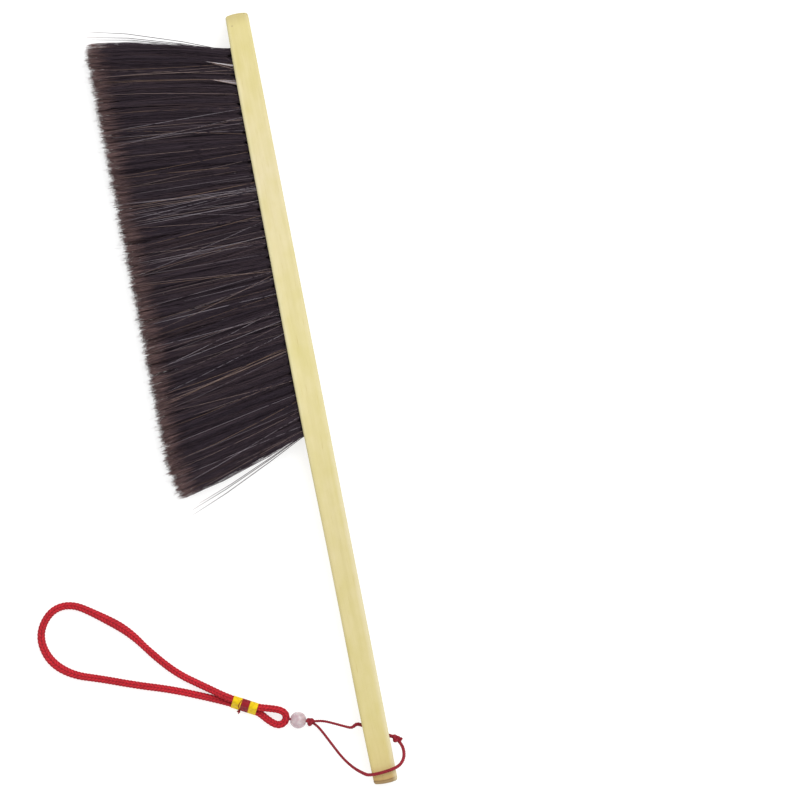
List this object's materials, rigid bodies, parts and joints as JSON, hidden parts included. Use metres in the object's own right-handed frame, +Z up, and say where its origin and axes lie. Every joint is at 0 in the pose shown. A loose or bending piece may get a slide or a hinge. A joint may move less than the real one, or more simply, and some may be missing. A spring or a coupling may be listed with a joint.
{
  "type": "neck duster brush",
  "caption": "Long straight wooden stick brush with one edge of soft dark bristle and a red braided wrist lanyard with a stone bead, tied through the grip.",
  "frame": {"origin": "on the surface that the brush lies on, below the centre of the box around its handle and tufts", "axes": "+Y along the handle to the head end, tufts point to -X, +Z up from the surface it lies on"},
  "size_m": [0.1736, 0.4, 0.021],
  "materials": {
    "wood": "smooth sanded, pale",
    "bristle": "dark brown-black synthetic filament",
    "wire": "flat wire",
    "red_braid": "round braided polyester cord",
    "red_twist": "thin twisted nylon cord",
    "yellow_thread": "wound silky thread",
    "maroon_thread": "wound silky thread",
    "pink_stone": "polished translucent pale pink quartz"
  },
  "bodies": {
    "brush": {"handle": "wood", "tufts_lower_row": "bristle", "tufts_middle_row": "bristle", "tufts_upper_row": "bristle", "anchors_lower_row": "wire", "anchors_middle_row": "wire", "anchors_upper_row": "wire", "wrist_cord": "red_braid", "whipping_yellow_outer": "yellow_thread", "whipping_maroon": "maroon_thread", "whipping_yellow_inner": "yellow_thread", "thread_end": "maroon_thread", "hang_cord": "red_twist", "bead_knot": "red_twist", "end_knot": "red_twist"},
    "bead": {"quartz_bead": "pink_stone"}
  },
  "joints": [
    {"name": "bead_spin", "type": "hinge", "parent": "brush", "child": "bead", "pos_m": [-0.00175, -0.16, 0.00435], "axis": [0.9501, -0.312, 0], "continuous": true}
  ]
}
